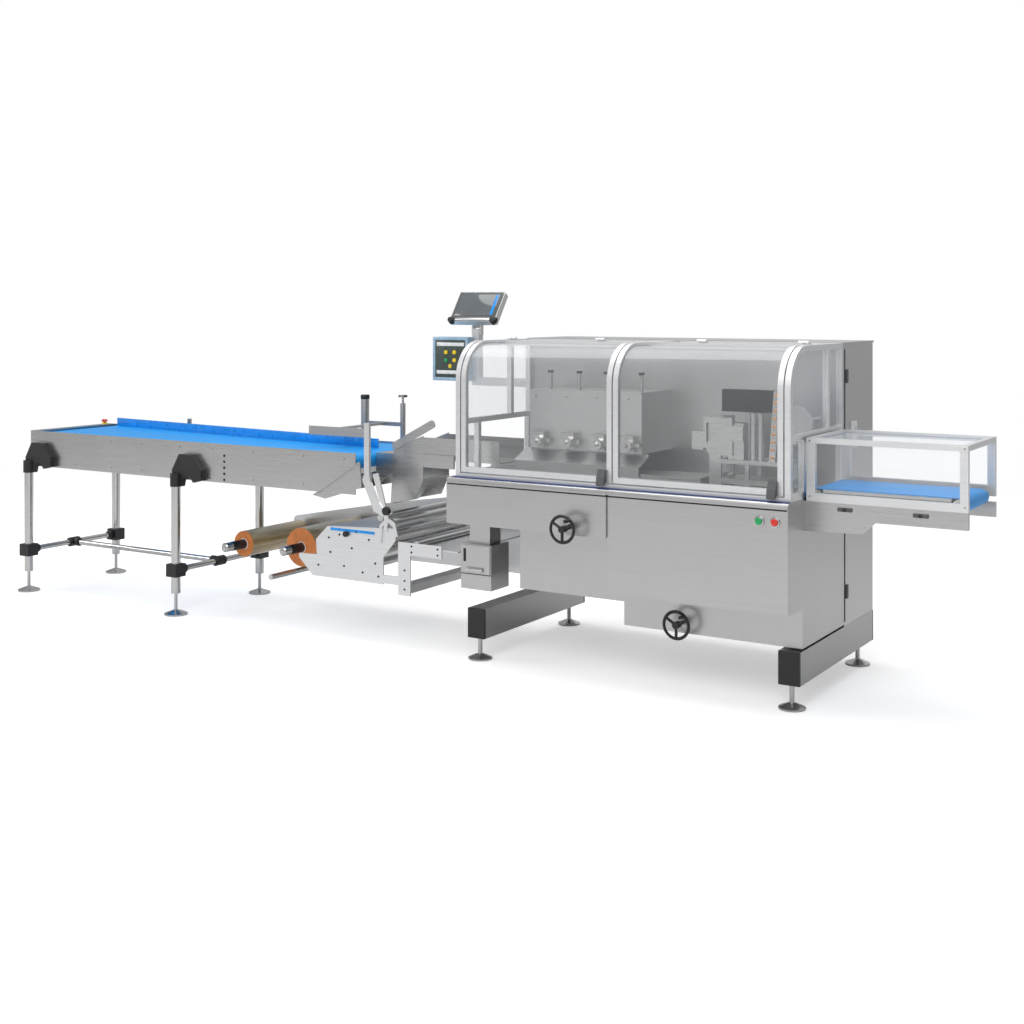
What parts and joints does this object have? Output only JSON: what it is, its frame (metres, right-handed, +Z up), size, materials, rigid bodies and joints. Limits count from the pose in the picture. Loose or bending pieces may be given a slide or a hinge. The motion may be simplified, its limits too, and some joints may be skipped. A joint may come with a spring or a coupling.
{
  "type": "horizontal flow wrapper",
  "caption": "Horizontal flow wrapper: belt infeed on a tube stand, film carriage below, sealing station under curved clear lids, guarded outfeed.",
  "frame": {"origin": "centre of the bounding box on the floor plane", "axes": "+X from infeed to outfeed, +Y from the operator side to the back, +Z up"},
  "size_m": [5.277, 1.166, 1.6885],
  "materials": {
    "base_beams": "dark satin steel",
    "beam_end_caps": "black moulded plastic",
    "belt_rollers": "turned",
    "carriage_plate": "satin",
    "carriage_rollers": "anodised",
    "clear_panes": "clear sheet",
    "control_box": "light blue-grey",
    "conveyor_belts": "blue belt",
    "crimp_jaws": "ground",
    "deck": "brushed",
    "film_back_plate": "satin",
    "fin_seal_housing": "satin",
    "fin_seal_wheels": "polished",
    "forming_box": "polished sheet",
    "front_panels": "brushed",
    "guard_end_frames": "satin",
    "guard_rails": "satin",
    "handwheel_lower": "black moulded",
    "handwheel_upper": "black moulded",
    "infeed_frame": "brushed",
    "jaw_cylinders": "anodised",
    "jaw_frame": "machined",
    "junction_box": "satin",
    "levelling_feet": "black pads with steel stems",
    "lid_left_frame": "satin",
    "lid_left_grip": "grey moulded",
    "lid_left_window": "clear curved sheet",
    "lid_right_frame": "satin",
    "lid_right_grip": "grey moulded",
    "lid_right_window": "clear curved sheet",
    "lower_cabinet": "brushed",
    "operator_panel": "satin",
    "outfeed_frame": "brushed",
    "outfeed_guard": "satin",
    "panel_support": "satin",
    "product_guides": "polished",
    "rear_cabinet": "brushed",
    "reel_left_film": "amber film on an orange core",
    "reel_left_shaft": "turned",
    "reel_right_film": "amber film on an orange core",
    "reel_right_shaft": "turned",
    "stand_brackets": "black moulded",
    "stand_tubes": "polished tube",
    "stop_button": "red",
    "stop_button_base": "yellow"
  },
  "bodies": {
    "machine": {"base_beams": "base_beams", "beam_end_caps": "beam_end_caps", "belt_rollers": "belt_rollers", "carriage_plate": "carriage_plate", "carriage_rollers": "carriage_rollers", "clear_panes": "clear_panes", "control_box": "control_box", "conveyor_belts": "conveyor_belts", "crimp_jaws": "crimp_jaws", "deck": "deck", "film_back_plate": "film_back_plate", "fin_seal_housing": "fin_seal_housing", "fin_seal_wheels": "fin_seal_wheels", "forming_box": "forming_box", "front_panels": "front_panels", "guard_end_frames": "guard_end_frames", "guard_rails": "guard_rails", "infeed_frame": "infeed_frame", "jaw_cylinders": "jaw_cylinders", "jaw_frame": "jaw_frame", "junction_box": "junction_box", "levelling_feet": "levelling_feet", "lower_cabinet": "lower_cabinet", "outfeed_frame": "outfeed_frame", "outfeed_guard": "outfeed_guard", "panel_support": "panel_support", "product_guides": "product_guides", "rear_cabinet": "rear_cabinet", "stand_brackets": "stand_brackets", "stand_tubes": "stand_tubes", "stop_button_base": "stop_button_base"},
    "lid_left": {"lid_left_frame": "lid_left_frame", "lid_left_window": "lid_left_window", "lid_left_grip": "lid_left_grip"},
    "lid_right": {"lid_right_frame": "lid_right_frame", "lid_right_window": "lid_right_window", "lid_right_grip": "lid_right_grip"},
    "reel_left": {"reel_left_shaft": "reel_left_shaft", "reel_left_film": "reel_left_film"},
    "reel_right": {"reel_right_shaft": "reel_right_shaft", "reel_right_film": "reel_right_film"},
    "handwheel_upper": {"handwheel_upper": "handwheel_upper"},
    "handwheel_lower": {"handwheel_lower": "handwheel_lower"},
    "operator_panel": {"operator_panel": "operator_panel"},
    "stop_button": {"stop_button": "stop_button"}
  },
  "joints": [
    {"name": "lid_left_hinge", "type": "hinge", "parent": "machine", "child": "lid_left", "pos_m": [0.8015, -0.114, 1.465], "axis": [-1, 0, 0], "range_deg": [0, 70]},
    {"name": "lid_right_hinge", "type": "hinge", "parent": "machine", "child": "lid_right", "pos_m": [1.5715, -0.114, 1.465], "axis": [-1, 0, 0], "range_deg": [0, 70]},
    {"name": "reel_left_spin", "type": "hinge", "parent": "machine", "child": "reel_left", "pos_m": [-1.1635, 0.064, 0.358], "axis": [0, 1, 0], "continuous": true},
    {"name": "reel_right_spin", "type": "hinge", "parent": "machine", "child": "reel_right", "pos_m": [-0.7665, 0.064, 0.376], "axis": [0, 1, 0], "continuous": true},
    {"name": "handwheel_upper_turn", "type": "hinge", "parent": "machine", "child": "handwheel_upper", "pos_m": [0.9995, -0.545, 0.67], "axis": [0, 1, 0], "continuous": true},
    {"name": "handwheel_lower_turn", "type": "hinge", "parent": "machine", "child": "handwheel_lower", "pos_m": [1.4535, -0.383, 0.288], "axis": [0, 1, 0], "continuous": true},
    {"name": "panel_tilt", "type": "hinge", "parent": "machine", "child": "operator_panel", "pos_m": [0.0525, 0.239, 1.514], "axis": [1, 0, 0], "range_deg": [-20, 25]},
    {"name": "stop_button_press", "type": "slide", "parent": "machine", "child": "stop_button", "axis": [0, 0, -1], "range_m": [0, 0.004], "stiffness_N_per_m": 400, "springref_m": -0.002}
  ]
}
